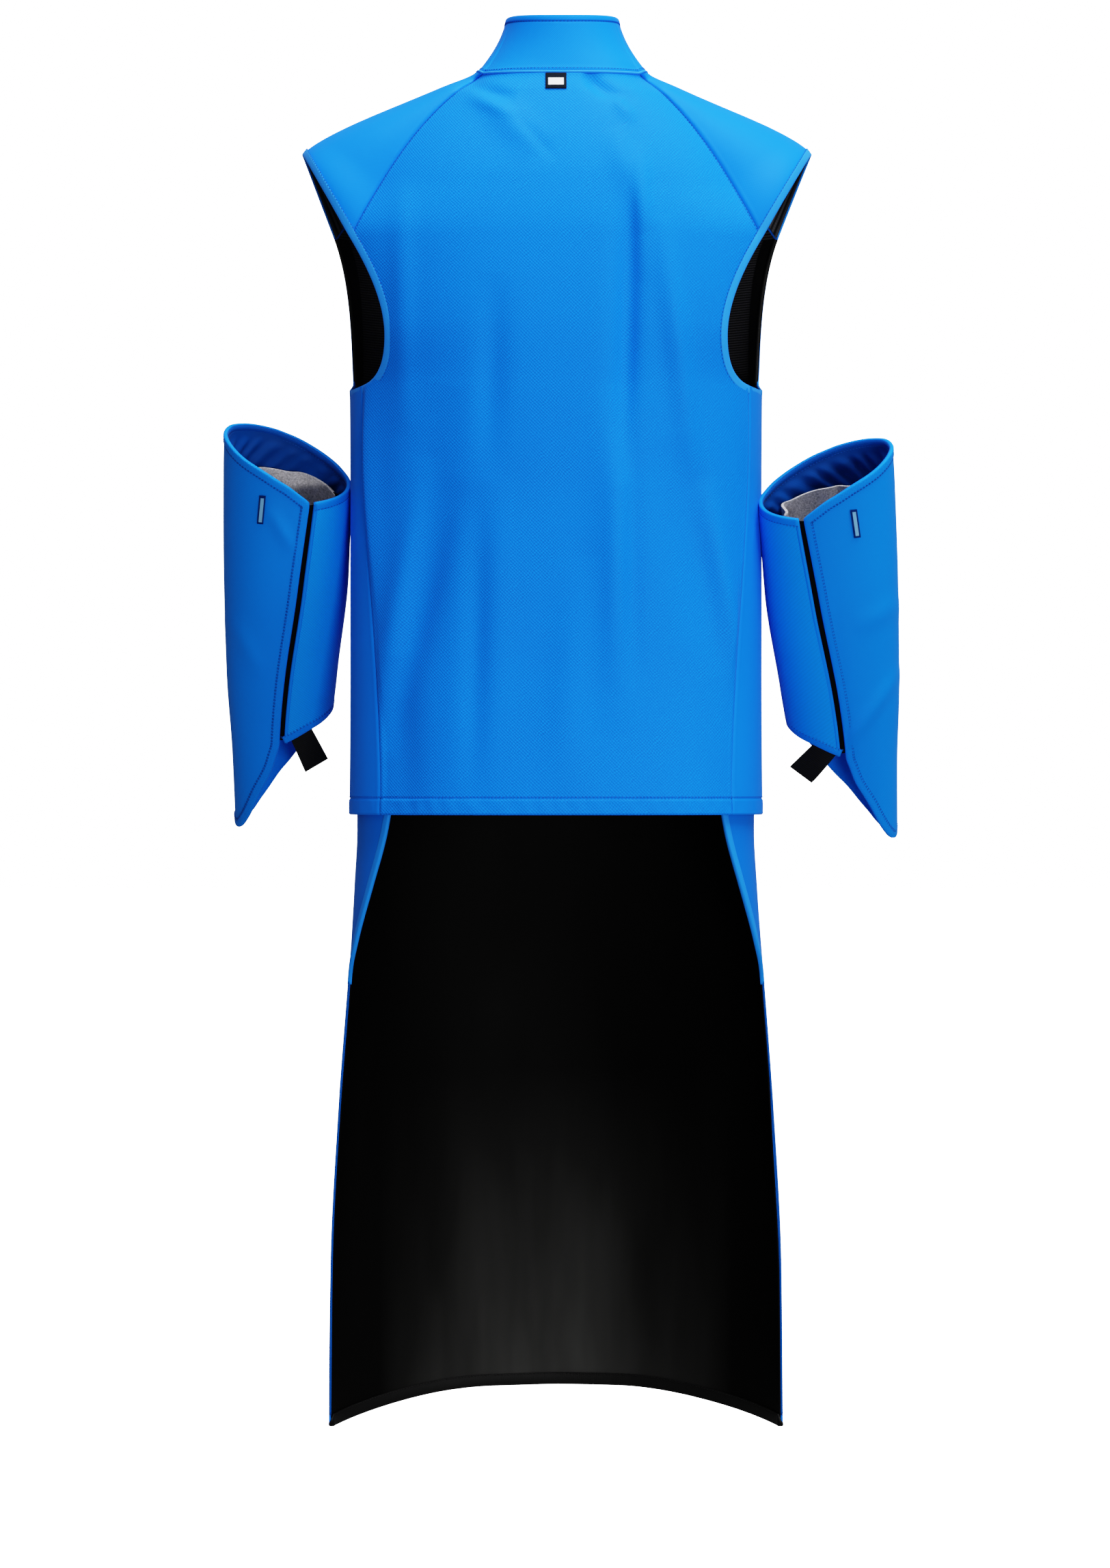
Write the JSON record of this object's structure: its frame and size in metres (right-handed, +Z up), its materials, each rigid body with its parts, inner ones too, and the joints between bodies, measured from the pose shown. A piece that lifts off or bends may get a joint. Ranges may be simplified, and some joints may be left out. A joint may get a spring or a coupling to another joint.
{
  "type": "water jetting vest with forearm guards",
  "caption": "Sleeveless protective work vest with stand collar, raglan shoulder caps, knitted back and long black-lined front apron, with wrap-round forearm guards at its sides.",
  "frame": {"origin": "middle of the neck opening, level with the sides of the neck seam, where the vest hangs on the neck and shoulders", "axes": "+Z up, +Y the way the wearer faces, +X to the wearer's right"},
  "size_m": [0.6977, 0.3072, 1.4288],
  "materials": {
    "back_knit": "pique knit, matte",
    "smooth_cloth": "dense smooth weave, matte",
    "apron_cloth": "dense smooth weave, matte",
    "guard_cloth": "fine structured weave, matte",
    "black_lining": "satin lining",
    "black_webbing": "webbing and loop tape",
    "grey_felt": "soft felt",
    "navy_label": "woven label, blank"
  },
  "bodies": {
    "root": {"back_panel": "back_knit", "front_panel": "smooth_cloth", "front_lining": "black_lining", "apron": "apron_cloth", "apron_lining": "black_lining", "apron_hem_tape": "black_lining", "collar": "smooth_cloth", "collar_tab": "smooth_cloth", "neck_label": "navy_label", "side_panel_right": "smooth_cloth", "side_panel_left": "smooth_cloth", "shoulder_right": "smooth_cloth", "shoulder_left": "smooth_cloth", "guard_shell_right": "guard_cloth", "guard_shell_left": "guard_cloth", "guard_lining_right": "grey_felt", "guard_lining_left": "grey_felt", "guard_closure_right": "black_webbing", "guard_closure_left": "black_webbing", "guard_strap_right": "black_webbing", "guard_strap_left": "black_webbing", "guard_label_right": "navy_label", "guard_label_left": "navy_label"}
  },
  "joints": []
}
